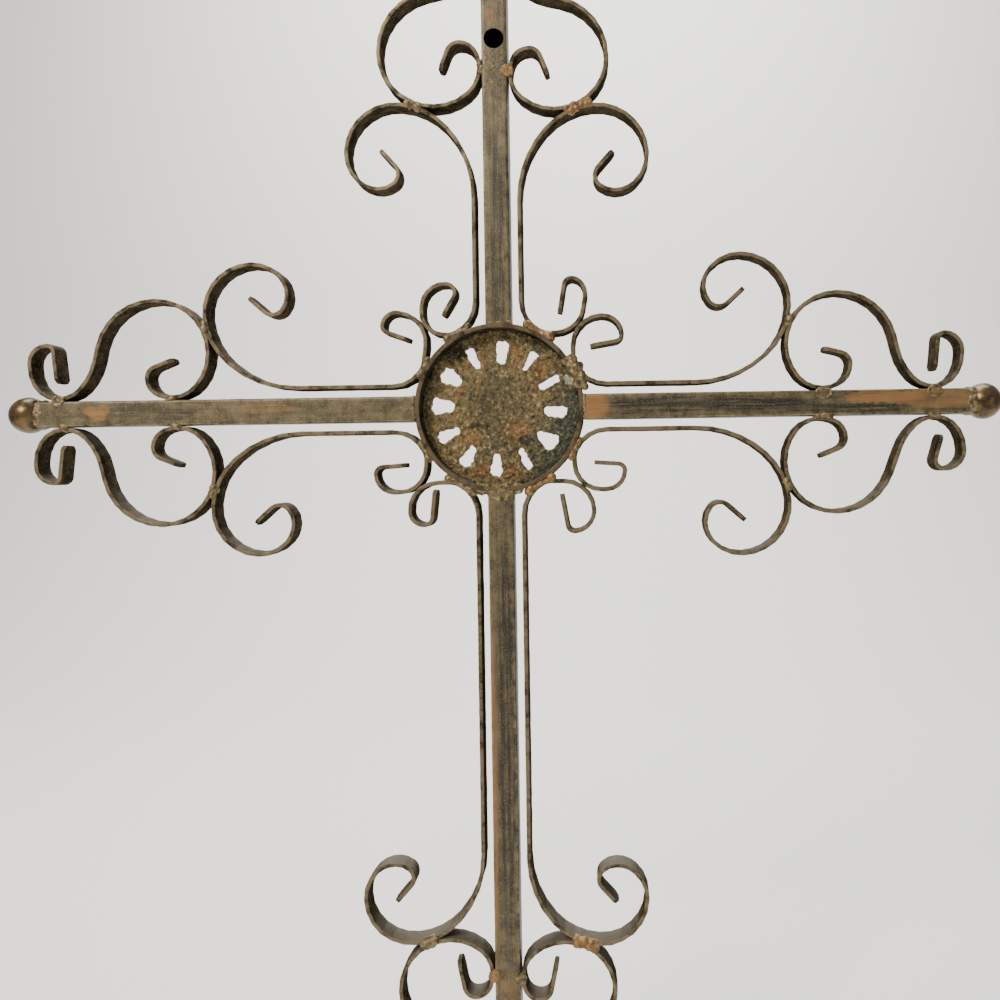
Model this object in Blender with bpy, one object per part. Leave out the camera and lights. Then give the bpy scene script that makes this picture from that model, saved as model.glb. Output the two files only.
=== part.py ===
# Wrought iron cross with C and S scrolls, made to hang on a wall.
# Seen from -Y it shows the side that the photograph shows; +Z is up, +X is to the right.
# The origin is the centre of the hanging hole, on the face of the tube that the hole is cut in.
import math

import bmesh
import bpy
import numpy as np

# Stock, in metres
TUBE_WIDTH = 0.019
TUBE_WALL = 0.0015
TUBE_CORNER_RADIUS = 0.0022
BAR_THICKNESS = 0.0032
BAR_DEPTH = 0.016
BAR_END_CUT = 0.0036
CLEARANCE = 0.0003

# Ring and the cast disc inside it
RING_OUTER_RADIUS = 0.0632
RING_THICKNESS = 0.0036
RING_DEPTH = TUBE_WIDTH
DISC_THICKNESS = 0.0050
DISC_INSET = 0.0010
SLOT_INNER_RADIUS = 0.0335
SLOT_OUTER_RADIUS = 0.0515
DISC_TURN = -3.5
SLOTS_ASIDE = -0.0016

# Width of each slot at its inner and outer end, clockwise from the top; no two are filed alike
SLOT_WIDTHS = (
    (0.0072, 0.0106), (0.0026, 0.0078), (0.0056, 0.0066), (0.0076, 0.0098),
    (0.0050, 0.0140), (0.0052, 0.0060), (0.0054, 0.0104), (0.0056, 0.0108),
    (0.0052, 0.0100), (0.0082, 0.0126), (0.0076, 0.0136), (0.0046, 0.0078),
)

# Hanging hole in the top arm and the ball finials
HOLE_HEIGHT = 0.2753
HOLE_DIAMETER = 0.0146
BALL_RADIUS = 0.0136
NECK_RADIUS = 0.0080
NECK_LENGTH = 0.0022

# Gap between a C scroll's straight run and the side of its arm
RUN_GAP = 0.0060

# Main radii of the scrolls, along the middle of the bar
C_CURL_RADIUS = 0.0355
S_BELLY_RADIUS = 0.0395

# Bends of the flat bar, in order: (radius, turn in degrees), or (STRAIGHT, length). Radii and
# lengths are shares of the curl's radius, the ring's radius and the belly's radius in turn.
STRAIGHT = 0.0
C_CURL = (
    (2.113, 42.0), (1.465, 43.0), (1.000, 93.0), (0.780, 50.0), (0.600, 42.0),
    (0.479, 40.0), (0.254, 92.0), (STRAIGHT, 0.479),
)
RING_BEND_RADIUS = 0.411
RISE_BEND = (0.237, 28.0)
C_EYE = ((0.350, 90.0), (0.232, 86.0), (0.086, 84.0), (STRAIGHT, 0.310))
C_EYE_SMALL = ((0.360, 94.0), (0.166, 90.0), (0.076, 74.0), (STRAIGHT, 0.285))
C_EYE_SHORT = ((0.314, 94.0), (0.160, 90.0), (0.092, 80.0), (STRAIGHT, 0.330))
C_EYE_LONG = ((0.350, 90.0), (0.232, 86.0), (0.086, 84.0), (STRAIGHT, 0.375))
C_EYE_TALL = (
    (0.370, 80.0), (STRAIGHT, 0.140), (0.240, 50.0), (0.160, 50.0), (0.098, 80.0), (STRAIGHT, 0.335),
)
C_EYE_FLAT = ((0.313, 88.0), (STRAIGHT, 0.066), (0.218, 90.0), (0.084, 86.0), (STRAIGHT, 0.285))
C_EYE_LOW = ((0.277, 90.0), (STRAIGHT, 0.063), (0.285, 90.0), (0.111, 117.0), (STRAIGHT, 0.253))
S_EYE = ((0.709, 20.0), (0.345, 70.0), (0.228, 68.0), (STRAIGHT, 0.365))
S_EYE_LONG = ((0.709, 20.0), (0.316, 70.0), (0.228, 78.0), (STRAIGHT, 0.530))
S_EYE_WIDE = ((0.709, 24.0), (0.430, 66.0), (0.228, 76.0), (STRAIGHT, 0.342))
S_BELLY = ((0.608, 50.0), (0.962, 40.0), (1.000, 90.0), (1.114, 77.0))
S_BELLY_LONG = ((0.608, 50.0), (0.930, 40.0), (0.960, 90.0), (1.114, 70.0))
S_NECK_RADII = (1.139, 0.557)
S_NECK_SPLIT = 0.4
S_HOOK = ((0.506, 60.0), (0.759, 30.0), (STRAIGHT, 0.055), (0.325, 90.0), (0.127, 84.0), (STRAIGHT, 0.600))
S_HOOK_CLOSED = ((0.506, 60.0), (0.772, 30.0), (0.354, 98.0), (0.165, 98.0), (STRAIGHT, 0.456))

# Arms clockwise from the top: turn about Y, and how far the ball's centre is past the last scroll
ARMS = {
    "top": {"turn": 0.0, "end": 0.0265},
    "right": {"turn": 90.0, "end": 0.0387},
    "bottom": {"turn": 180.0, "end": 0.0290},
    "left": {"turn": 270.0, "end": 0.0265},
}

# The pair of scrolls on each side of each arm, as bent by hand: the C scroll's straight run, how
# large its big curl is, its bend at the ring, the straight rise from there and the eye that ends
# it, then how large the S scroll is, with the eye, belly or hook of it that is bent another way.
# An eye that touches a neighbour is sized to fit against it.
SCROLLS = {
    ("top", "left"): {"side": -1, "run": 0.0785, "curl": 1.03, "bend": 66.0, "rise": 0.032,
                      "eye": C_EYE_LOW, "s_size": 1.04, "touches": ("left", "upper")},
    ("top", "right"): {"side": 1, "run": 0.0750, "curl": 1.045, "bend": 62.0, "rise": 0.076,
                       "eye": C_EYE_TALL, "s_size": 1.00, "touches": ("right", "upper")},
    ("right", "upper"): {"side": -1, "run": 0.0675, "curl": 1.04, "bend": 62.0, "rise": 0.127,
                         "eye": C_EYE, "s_size": 0.985, "s_eye": S_EYE_WIDE},
    ("right", "lower"): {"side": 1, "run": 0.0665, "curl": 1.03, "bend": 64.0, "rise": 0.068,
                         "eye": C_EYE_FLAT, "s_size": 1.00, "belly": S_BELLY_LONG,
                         "hook": S_HOOK_CLOSED},
    ("bottom", "right"): {"side": -1, "run": 0.2575, "curl": 0.957, "bend": 62.0, "rise": 0.142,
                          "eye": C_EYE_LONG, "s_size": 0.95, "s_eye": S_EYE_LONG,
                          "touches": ("right", "lower")},
    ("bottom", "left"): {"side": 1, "run": 0.2545, "curl": 0.96, "bend": 62.0, "rise": 0.155,
                         "eye": C_EYE_SHORT, "s_size": 0.95, "s_eye": S_EYE_LONG,
                         "touches": ("left", "lower")},
    ("left", "lower"): {"side": -1, "run": 0.0690, "curl": 0.98, "bend": 64.0, "rise": 0.068,
                        "eye": C_EYE_FLAT, "s_size": 1.00},
    ("left", "upper"): {"side": 1, "run": 0.0715, "curl": 1.01, "bend": 54.0, "rise": 0.190,
                        "eye": C_EYE_SMALL, "s_size": 1.00},
}
SMALLEST_EYE = 0.3
LARGEST_EYE = 1.25

# Fineness of the facets, and of the places found by halving
BISECTIONS = 26
CHORD_ERROR = 0.00032
WIDEST_STEP = 20.0
RING_SIDES = 48
BALL_SIDES = 16
BALL_RINGS = 9
HOLE_SIDES = 24
CORNER_STEPS = 3
SHARP_ANGLE = 35.0
MERGE_DISTANCE = 0.000001

# Colour, roughness and metallic value of each material
MATERIALS = {
    "bronzed_tube": ((0.130, 0.085, 0.045), 0.55, 0.35),
    "bronzed_bar": ((0.110, 0.072, 0.042), 0.50, 0.35),
    "cast_disc": ((0.105, 0.080, 0.045), 0.85, 0.20),
    "polished_ball": ((0.150, 0.100, 0.050), 0.35, 0.50),
}

MIDDLE_Y = TUBE_WIDTH / 2
BAR_REACH = BAR_THICKNESS / 2 + CLEARANCE


# Bent bar as a path in the plane of the cross: u runs outward along the arm, v away from it

def arc_steps(radius, turn):
    step = math.degrees(2 * math.acos(1 - CHORD_ERROR / radius))
    return max(2, math.ceil(abs(turn) / min(step, WIDEST_STEP)))


def bend_path(start, heading, bends, hand):
    """Points of a bar that starts at a point and heading and takes each bend to one hand."""
    u, v = start
    angle = math.radians(heading)
    points = [(u, v)]
    for radius, amount in bends:
        if radius == STRAIGHT:
            u += amount * math.cos(angle)
            v += amount * math.sin(angle)
            points.append((u, v))
            continue
        steps = arc_steps(radius, amount)
        turn = hand * math.radians(amount) / steps
        chord = 2 * radius * math.sin(abs(turn) / 2)
        for _ in range(steps):
            angle += turn / 2
            u += chord * math.cos(angle)
            v += chord * math.sin(angle)
            angle += turn / 2
            points.append((u, v))
    return points


def resized(bends, factor):
    """The same bends with every radius changed by a factor; straight lengths stay."""
    return tuple((radius * factor, amount) for radius, amount in bends)


def to_size(bends, unit):
    """Bends given in shares of a length, as real radii and lengths."""
    return tuple((STRAIGHT, amount * unit) if radius == STRAIGHT else (radius * unit, amount)
                 for radius, amount in bends)


def slide(path, shift):
    return [(u + shift, v) for u, v in path]


def path_distance(first, second):
    """Least distance between two paths, or zero where they cross."""
    a, b = (np.array(part)[:, None, :] for part in (first[:-1], first[1:]))
    c, d = (np.array(part)[None, :, :] for part in (second[:-1], second[1:]))
    crossing = (side_of(a, b, c) * side_of(a, b, d) < 0) & (side_of(c, d, a) * side_of(c, d, b) < 0)
    if crossing.any():
        return 0.0
    pairs = ((a, c, d), (b, c, d), (c, a, b), (d, a, b))
    return min(points_to_segments(*pair).min() for pair in pairs)


def points_to_segments(p, a, b):
    run = b - a
    along = np.clip(((p - a) * run).sum(-1) / (run * run).sum(-1), 0.0, 1.0)
    return np.linalg.norm(p - a - along[..., None] * run, axis=-1)


def side_of(a, b, p):
    return (b - a)[..., 0] * (p - a)[..., 1] - (b - a)[..., 1] * (p - a)[..., 0]


def least_clear(is_clear, low, high):
    """Smallest value between two bounds from which on a piece is clear."""
    for _ in range(BISECTIONS):
        middle = (low + high) / 2
        if is_clear(middle):
            high = middle
        else:
            low = middle
    return high


def c_scroll_path(sizes, eye_size=1.0):
    """C scroll whose bend lies against the ring."""
    height = TUBE_WIDTH / 2 + RUN_GAP + BAR_THICKNESS / 2
    foot = ((RING_BEND_RADIUS, sizes["bend"]), RISE_BEND, (STRAIGHT, sizes["rise"]))
    near_end = to_size(foot + resized(sizes["eye"], eye_size), RING_OUTER_RADIUS)
    far_end = resized(to_size(C_CURL, C_CURL_RADIUS), sizes["curl"])
    eye = bend_path((0.0, height), 180.0, near_end, -1)
    curl = bend_path((sizes["run"], height), 0.0, far_end, 1)
    centre = np.zeros(2)
    near = np.array(eye)

    def clear_of_ring(shift):
        moved = near + (shift, 0.0)
        return points_to_segments(centre, moved[:-1], moved[1:]).min() > RING_OUTER_RADIUS + BAR_REACH

    return slide(eye[::-1] + curl, least_clear(clear_of_ring, 0.0, 3 * RING_OUTER_RADIUS))


def fitted_c_scroll_path(sizes, neighbour):
    """C scroll with an eye of the size that makes it lie against the neighbour's.

    The neighbour's arm is square to this one, so its u is this one's v."""
    other = [(v, u) for u, v in neighbour]
    apart = BAR_THICKNESS + CLEARANCE

    def clear_of_neighbour(closing):
        return path_distance(c_scroll_path(sizes, 1 / closing), other) > apart

    closing = least_clear(clear_of_neighbour, 1 / LARGEST_EYE, 1 / SMALLEST_EYE)
    return c_scroll_path(sizes, 1 / closing)


def s_scroll_path(sizes, c_path):
    """S scroll that touches its arm twice and the C scroll beside it once."""
    size = sizes["s_size"]
    height = TUBE_WIDTH / 2 + BAR_REACH
    bends = sizes.get("belly", S_BELLY)
    total = sum(turn for _, turn in bends)
    back = total - 180.0
    neck = to_size(((S_NECK_RADII[0], back * S_NECK_SPLIT),
                    (S_NECK_RADII[1], back * (1 - S_NECK_SPLIT))), size * S_BELLY_RADIUS)
    hook = to_size(sizes.get("hook", S_HOOK), S_BELLY_RADIUS)
    inner = to_size(sizes.get("s_eye", S_EYE), size * S_BELLY_RADIUS)
    eye = bend_path((0.0, height), 0.0, inner, 1)
    belly = bend_path((0.0, height), 180.0, to_size(bends, size * S_BELLY_RADIUS), -1)
    trial = bend_path(belly[-1], 180.0 - total, neck, 1)
    straight = (trial[-1][1] - height) / math.sin(math.radians(back))
    shank = bend_path(belly[-1], 180.0 - total, ((STRAIGHT, straight),), 1)
    ending = bend_path(shank[-1], 180.0 - total, neck + hook, 1)
    path = eye[::-1] + belly[1:] + shank[1:] + ending[1:]
    touch = shank[-1][0] + trial[-1][0] - belly[-1][0]
    reach = max(u for u, _ in c_path)
    apart = BAR_THICKNESS + CLEARANCE

    def clear_of_c(shift):
        return path_distance(slide(path, shift), c_path) > apart

    shift = least_clear(clear_of_c, reach, reach + 2 * S_BELLY_RADIUS)
    return slide(path, shift), touch + shift


# Meshes and objects

def new_object(name, mesh_builder, material, parent):
    mesh = bpy.data.meshes.new(name)
    shape = bmesh.new()
    mesh_builder(shape)
    bmesh.ops.remove_doubles(shape, verts=shape.verts, dist=MERGE_DISTANCE)
    bmesh.ops.recalc_face_normals(shape, faces=shape.faces)
    shape.to_mesh(mesh)
    shape.free()
    mesh.shade_smooth()
    mesh.set_sharp_from_angle(angle=math.radians(SHARP_ANGLE))
    mesh.materials.append(material)
    piece = bpy.data.objects.new(name, mesh)
    bpy.context.collection.objects.link(piece)
    piece.parent = parent
    return piece


def make_material(name):
    colour, roughness, metallic = MATERIALS[name]
    material = bpy.data.materials.new(name)
    material.use_nodes = True
    shader = material.node_tree.nodes["Principled BSDF"]
    shader.inputs["Base Color"].default_value = (*colour, 1.0)
    shader.inputs["Roughness"].default_value = roughness
    shader.inputs["Metallic"].default_value = metallic
    return material


def short_of_end(end, before):
    """Point that lies the length of the end cut before the end of a path."""
    share = BAR_END_CUT / math.dist(end, before)
    return tuple(a + (b - a) * share for a, b in zip(end, before))


def bar_along(route, side):
    """Flat bar on edge, swept along a path with mitred joints, its ends' corners cut off."""
    path = [route[0], short_of_end(route[0], route[1]), *route[1:-1],
            short_of_end(route[-1], route[-2]), route[-1]]

    def build(shape):
        half = BAR_THICKNESS / 2
        rows = []
        for index, point in enumerate(path):
            depth = BAR_DEPTH - (2 * BAR_END_CUT if index in (0, len(path) - 1) else 0.0)
            before = path[max(index - 1, 0)]
            after = path[min(index + 1, len(path) - 1)]
            headings = [math.atan2(q[1] - p[1], q[0] - p[0])
                        for p, q in ((before, point), (point, after)) if p != q]
            turn = (headings[-1] - headings[0] + math.pi) % (2 * math.pi) - math.pi
            heading = headings[0] + turn / 2
            mitre = half / math.cos(turn / 2)
            du, dv = -math.sin(heading) * mitre, math.cos(heading) * mitre
            row = []
            for sign, y in ((1, -1), (-1, -1), (-1, 1), (1, 1)):
                row.append(shape.verts.new((side * (point[1] + sign * dv), y * depth / 2,
                                            point[0] + sign * du)))
            rows.append(row)
        for row, following in zip(rows, rows[1:]):
            for k in range(4):
                shape.faces.new((row[k], row[k - 1], following[k - 1], following[k]))
        shape.faces.new(rows[0])
        shape.faces.new(rows[-1][::-1])
    return build


def rounded_square(width, radius):
    points = []
    corner = width / 2 - radius
    for quarter in range(4):
        middle = math.radians(45 + 90 * quarter)
        cx = math.copysign(corner, math.cos(middle))
        cy = math.copysign(corner, math.sin(middle))
        for step in range(CORNER_STEPS + 1):
            angle = math.radians(90 * quarter + 90 * step / CORNER_STEPS)
            points.append((cx + radius * math.cos(angle), cy + radius * math.sin(angle)))
    return points


def square_tube(start, end):
    """Tube along Z that is open at its start and closed by a plate at its end."""
    def build(shape):
        outer = rounded_square(TUBE_WIDTH, TUBE_CORNER_RADIUS)
        inner_radius = max(TUBE_CORNER_RADIUS - TUBE_WALL, TUBE_CORNER_RADIUS / 4)
        inner = rounded_square(TUBE_WIDTH - 2 * TUBE_WALL, inner_radius)
        loops = []
        for outline, z in ((outer, end), (outer, start), (inner, start), (inner, end - TUBE_WALL)):
            loops.append([shape.verts.new((x, y, z)) for x, y in outline])
        for first, second in zip(loops, loops[1:]):
            for k in range(len(outer)):
                shape.faces.new((first[k - 1], first[k], second[k], second[k - 1]))
        shape.faces.new(loops[0])
        shape.faces.new(loops[-1])
    return build


def turned(profile, sides):
    """Solid of revolution about Z from a profile of (radius, z) points."""
    def build(shape):
        verts = [shape.verts.new((r, 0.0, z)) for r, z in profile]
        edges = [shape.edges.new(pair) for pair in zip(verts, verts[1:])]
        bmesh.ops.spin(shape, geom=verts + edges, cent=(0, 0, 0), axis=(0, 0, 1),
                       angle=2 * math.pi, steps=sides)
    return build


def ball_profile(centre, tube_end):
    """Ball with a short neck that stands on the end of the tube."""
    seat = math.asin(NECK_RADIUS / BALL_RADIUS)
    profile = [(0.0, tube_end + CLEARANCE), (NECK_RADIUS, tube_end + CLEARANCE)]
    for step in range(BALL_RINGS):
        angle = seat + (math.pi - seat) * step / (BALL_RINGS - 1)
        profile.append((BALL_RADIUS * math.sin(angle), centre - BALL_RADIUS * math.cos(angle)))
    profile[-1] = (0.0, centre + BALL_RADIUS)
    return profile


def flat_ring(shape):
    """Hoop of flat bar, its axis along Y."""
    inner = RING_OUTER_RADIUS - RING_THICKNESS
    corners = ((RING_OUTER_RADIUS, -RING_DEPTH / 2), (RING_OUTER_RADIUS, RING_DEPTH / 2),
               (inner, RING_DEPTH / 2), (inner, -RING_DEPTH / 2))
    verts = [shape.verts.new((0.0, y, r)) for r, y in corners]
    edges = [shape.edges.new((verts[k - 1], verts[k])) for k in range(4)]
    bmesh.ops.spin(shape, geom=verts + edges, cent=(0, 0, 0), axis=(0, 1, 0),
                   angle=2 * math.pi, steps=RING_SIDES)


def extrude_outline(shape, outline, depth):
    """Prism along Y from a closed outline of (x, z) points."""
    face = shape.faces.new([shape.verts.new((x, -depth / 2, z)) for x, z in outline])
    raised = bmesh.ops.extrude_face_region(shape, geom=[face])
    moved = [part for part in raised["geom"] if isinstance(part, bmesh.types.BMVert)]
    bmesh.ops.translate(shape, verts=moved, vec=(0, depth, 0))


def circle(radius, sides):
    return [(radius * math.sin(2 * math.pi * k / sides), radius * math.cos(2 * math.pi * k / sides))
            for k in range(sides)]


def slot_outline(number):
    """Radial slot with rounded ends, wider at its outer end."""
    inner, outer = SLOT_WIDTHS[number]
    outline = []
    for width, radius, start in ((inner, SLOT_INNER_RADIUS, 180), (outer, SLOT_OUTER_RADIUS, 0)):
        corner = width / 4
        middle = radius + corner if start else radius - corner
        for step in range(4):
            angle = math.radians(start + 60 * step)
            outline.append((width / 2 * math.cos(angle), middle + corner * math.sin(angle)))
    turn = math.radians(DISC_TURN) - 2 * math.pi * number / len(SLOT_WIDTHS)
    return [(x * math.cos(turn) - z * math.sin(turn), x * math.sin(turn) + z * math.cos(turn))
            for x, z in outline]


def cut_away(piece, cutter):
    cutter.hide_render = True
    cutter.display_type = 'WIRE'
    boolean = piece.modifiers.new("cut", 'BOOLEAN')
    boolean.operation = 'DIFFERENCE'
    boolean.solver = 'EXACT'
    boolean.object = cutter


def make_disc(material, parent):
    radius = RING_OUTER_RADIUS - RING_THICKNESS - CLEARANCE
    disc = new_object("slotted_disc", lambda shape: extrude_outline(
        shape, circle(radius, RING_SIDES), DISC_THICKNESS), material, parent)

    def all_slots(shape):
        for number in range(len(SLOT_WIDTHS)):
            extrude_outline(shape, slot_outline(number), 2 * DISC_THICKNESS)

    cutter = new_object("slot_cutter", all_slots, material, parent)
    place = (RING_DEPTH - DISC_THICKNESS) / 2 - DISC_INSET
    disc.location.y = place
    cutter.location = (SLOTS_ASIDE, place, 0.0)
    cut_away(disc, cutter)


def make_top_hole(tube, material, parent):
    def punch(shape):
        extrude_outline(shape, [(x, z + HOLE_HEIGHT) for x, z in circle(HOLE_DIAMETER / 2, HOLE_SIDES)],
                        TUBE_WIDTH)

    cutter = new_object("hole_cutter", punch, material, parent)
    cutter.location.y = -TUBE_WIDTH / 2
    cut_away(tube, cutter)


def empty_at(name, location, parent=None, turn=0.0):
    empty = bpy.data.objects.new(name, None)
    bpy.context.collection.objects.link(empty)
    empty.location = location
    empty.rotation_euler.y = math.radians(turn)
    empty.parent = parent
    return empty


def scroll_paths():
    """Paths of all C scrolls, those that fit against no neighbour first, and of the S scrolls."""
    c_paths = {}
    for key, sizes in sorted(SCROLLS.items(), key=lambda item: "touches" in item[1]):
        if "touches" in sizes:
            c_paths[key] = fitted_c_scroll_path(sizes, c_paths[sizes["touches"]])
        else:
            c_paths[key] = c_scroll_path(sizes)
    s_paths = {key: s_scroll_path(SCROLLS[key], path) for key, path in c_paths.items()}
    return c_paths, s_paths


def main():
    for thing in list(bpy.data.objects):
        bpy.data.objects.remove(thing)
    materials = {name: make_material(name) for name in MATERIALS}
    centre = empty_at("ring_centre", (0.0, MIDDLE_Y, -HOLE_HEIGHT))
    new_object("ring", flat_ring, materials["bronzed_bar"], centre)
    make_disc(materials["cast_disc"], centre)
    c_paths, s_paths = scroll_paths()
    for arm, place in ARMS.items():
        frame = empty_at(f"{arm}_arm_frame", (0.0, 0.0, 0.0), centre, place["turn"])
        keys = [key for key in SCROLLS if key[0] == arm]
        reach = max(s_paths[key][1] for key in keys) + place["end"]
        seat = math.sqrt(BALL_RADIUS ** 2 - NECK_RADIUS ** 2) + NECK_LENGTH
        tube_end = reach - seat
        tube = new_object(f"arm_{arm}", square_tube(RING_OUTER_RADIUS + CLEARANCE, tube_end),
                          materials["bronzed_tube"], frame)
        if arm == "top":
            make_top_hole(tube, materials["bronzed_tube"], frame)
        new_object(f"ball_{arm}", turned(ball_profile(reach, tube_end), BALL_SIDES),
                   materials["polished_ball"], frame)
        for key in keys:
            for kind, path in (("c", c_paths[key]), ("s", s_paths[key][0])):
                new_object(f"{kind}_scroll_{arm}_{key[1]}", bar_along(path, SCROLLS[key]["side"]),
                           materials["bronzed_bar"], frame)


main()
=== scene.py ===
# Wrought iron cross, seen from the side that hangs against the wall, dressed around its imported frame
import bmesh
import bpy
import math
import random
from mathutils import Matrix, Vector


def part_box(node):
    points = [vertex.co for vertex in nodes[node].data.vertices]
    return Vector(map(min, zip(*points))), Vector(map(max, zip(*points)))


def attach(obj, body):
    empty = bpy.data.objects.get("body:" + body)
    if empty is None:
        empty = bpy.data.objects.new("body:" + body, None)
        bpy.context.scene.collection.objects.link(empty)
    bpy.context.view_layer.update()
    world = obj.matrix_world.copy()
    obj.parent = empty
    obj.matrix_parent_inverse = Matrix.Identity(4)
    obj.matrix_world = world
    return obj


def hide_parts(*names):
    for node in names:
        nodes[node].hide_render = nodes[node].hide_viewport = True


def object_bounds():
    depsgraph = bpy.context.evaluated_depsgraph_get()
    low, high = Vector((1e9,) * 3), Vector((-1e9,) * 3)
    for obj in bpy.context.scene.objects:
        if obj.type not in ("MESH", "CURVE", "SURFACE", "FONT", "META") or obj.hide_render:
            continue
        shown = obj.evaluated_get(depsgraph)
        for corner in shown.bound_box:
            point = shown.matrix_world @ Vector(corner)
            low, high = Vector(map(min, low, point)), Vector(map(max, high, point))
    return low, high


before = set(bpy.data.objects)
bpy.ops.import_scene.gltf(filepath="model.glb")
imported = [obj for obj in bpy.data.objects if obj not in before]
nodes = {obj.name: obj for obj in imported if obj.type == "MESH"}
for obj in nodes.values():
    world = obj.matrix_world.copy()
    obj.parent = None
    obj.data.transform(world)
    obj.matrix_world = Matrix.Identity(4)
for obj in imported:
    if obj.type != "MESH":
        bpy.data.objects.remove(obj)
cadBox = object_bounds()
ringLow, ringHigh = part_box("ring")
ringMiddle = (ringLow + ringHigh) / 2
arms = {
    "top": Vector((0, 0, 1)), "right": Vector((1, 0, 0)),
    "bottom": Vector((0, 0, -1)), "left": Vector((-1, 0, 0)),
}
print("frame loaded:", len(nodes), "nodes")


# small helpers
def deselectAll():
    if bpy.context.object and bpy.context.object.mode != "OBJECT":
        bpy.ops.object.mode_set(mode="OBJECT")
    bpy.ops.object.select_all(action="DESELECT")


def pick(piece):
    deselectAll()
    piece.select_set(True)
    bpy.context.view_layer.objects.active = piece


def selectWhere(piece, kind, test):
    bpy.ops.mesh.select_mode(type=kind)
    bpy.ops.mesh.select_all(action="DESELECT")
    mesh = bmesh.from_edit_mesh(piece.data)
    for part in {"VERT": mesh.verts, "EDGE": mesh.edges, "FACE": mesh.faces}[kind]:
        if test(part):
            part.select_set(True)
    bmesh.update_edit_mesh(piece.data)


def applyPlace(piece):
    pick(piece)
    bpy.ops.object.transform_apply(location=True, rotation=True, scale=True)


def useModifier(piece, kind, **settings):
    pick(piece)
    modifier = piece.modifiers.new(kind.lower(), kind)
    for name, value in settings.items():
        setattr(modifier, name, value)
    bpy.ops.object.modifier_apply(modifier=modifier.name)


def roughen(piece, depth, size, detail=2):
    cloud = bpy.data.textures.new("cloud", "CLOUDS")
    cloud.noise_scale = size
    cloud.noise_depth = detail
    useModifier(piece, "DISPLACE", texture=cloud, strength=depth, mid_level=.5)


def smoothUnder(piece, degrees, flatFaces=False):
    pick(piece)
    bpy.ops.object.shade_smooth_by_angle(angle=math.radians(degrees))
    if flatFaces:
        useModifier(piece, "WEIGHTED_NORMAL", weight=50, keep_sharp=True)


def finishPiece(piece, name, material, slotName, *stoodFor):
    piece.name = name
    piece.data.materials.clear()
    piece.data.materials.append(material)
    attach(piece, "root")
    if stoodFor:
        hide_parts(*stoodFor)


# materials
def colour(text):
    parts = [int(text[i:i + 2], 16) / 255 for i in (1, 3, 5)]
    return [p / 12.92 if p <= .04045 else ((p + .055) / 1.055) ** 2.4 for p in parts] + [1]


def addNode(tree, kind, settings=None, inputs=None):
    node = tree.nodes.new(kind)
    for name, value in (settings or {}).items():
        setattr(node, name, value)
    for name, value in (inputs or {}).items():
        if isinstance(value, bpy.types.NodeSocket):
            tree.links.new(value, node.inputs[name])
        else:
            node.inputs[name].default_value = value
    return node


def startMaterial(name, metallic=.3, roughness=.5):
    material = bpy.data.materials.new(name)
    material.use_nodes = True
    shader = material.node_tree.nodes["Principled BSDF"]
    shader.inputs["Metallic"].default_value = metallic
    shader.inputs["Roughness"].default_value = roughness
    return material, material.node_tree, shader


# Bronze powder paint brushed over a black-green undercoat, then rubbed back: tan where the bristles
# dragged it, dark in the streaks between, with smooth ochre touches where no dark wash was put on.
# streaks are 1 to 3 mm wide and run along the tube
tubePaint = dict(
    tan="#716648", brown="#443a27", dark="#1c1f19", ochre="#946a3c", rust="#6b4022", fleck="#b09c74",
    paintedInsideShade="#050505", metallic=.35, roughness=.50, roughSpread=.12,
    streak=.0012, reach=.030, grain=.00035, inside=.0085,
)
# how each tube was painted; spots are (x, z, half width, half height, strength), lengths in m
tubeLooks = {
    "top": dict(darkness=.52, ochre=[(-.0035, .0165, .0045, .0065, .35)],
                dark=[(.001, -.150, .0055, .085, .8), (.002, -.018, .008, .030, .35)]),
    "right": dict(darkness=.80, dark=[(.155, -.2745, .085, .0060, .95), (.262, -.279, .055, .0040, .95)],
                  ochre=[(.0640, -.2753, .0185, .0130, .95), (.287, -.2715, .032, .0052, .75),
                         (.327, -.2735, .032, .0078, .50)]),
    "bottom": dict(darkness=.45, ochre=[(-.0078, -.560, .0022, .130, .55), (.000, -.725, .0090, .030, .20)],
                   dark=[(.0020, -.52, .0062, .165, .85)]),
    "left": dict(darkness=.42, ochre=[(-.3040, -.2738, .0052, .0046, .75),
                                      (-.2985, -.2768, .0062, .0040, .75),
                                      (-.2950, -.2728, .0048, .0034, .65),
                                      (-.175, -.2735, .025, .0035, .35)],
                 dark=[(-.275, -.2735, .030, .0052, .55), (-.243, -.277, .014, .0045, .7)]),
}


def spotMask(tree, place, spot):
    x, z, wide, high, strength = spot
    moved = addNode(tree, "ShaderNodeVectorMath", {"operation": "SUBTRACT"}, {0: place, 1: (x, 0, z)})
    shrunk = addNode(tree, "ShaderNodeVectorMath", {"operation": "MULTIPLY"},
                     {0: moved.outputs[0], 1: (1 / wide, 0, 1 / high)})
    away = addNode(tree, "ShaderNodeVectorMath", {"operation": "LENGTH"}, {0: shrunk.outputs[0]})
    return addNode(tree, "ShaderNodeMapRange", {"interpolation_type": "SMOOTHSTEP"},
                   {"Value": away.outputs["Value"], "From Min": 1.15, "From Max": .75,
                    "To Max": strength}).outputs[0]


def wanderPlace(tree, place, scale, detail, reach):
    # places moved to and fro by up to half the reach, so that the edges of spots wander
    wander = addNode(tree, "ShaderNodeTexNoise", inputs={
        "Vector": place, "Scale": scale, "Detail": detail}).outputs["Color"]
    moved = addNode(tree, "ShaderNodeVectorMath", {"operation": "MULTIPLY_ADD"},
                    {0: wander, 1: (reach, reach, reach), 2: place}).outputs[0]
    return addNode(tree, "ShaderNodeVectorMath", {"operation": "SUBTRACT"},
                   {0: moved, 1: (reach / 2, reach / 2, reach / 2)}).outputs[0]


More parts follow.
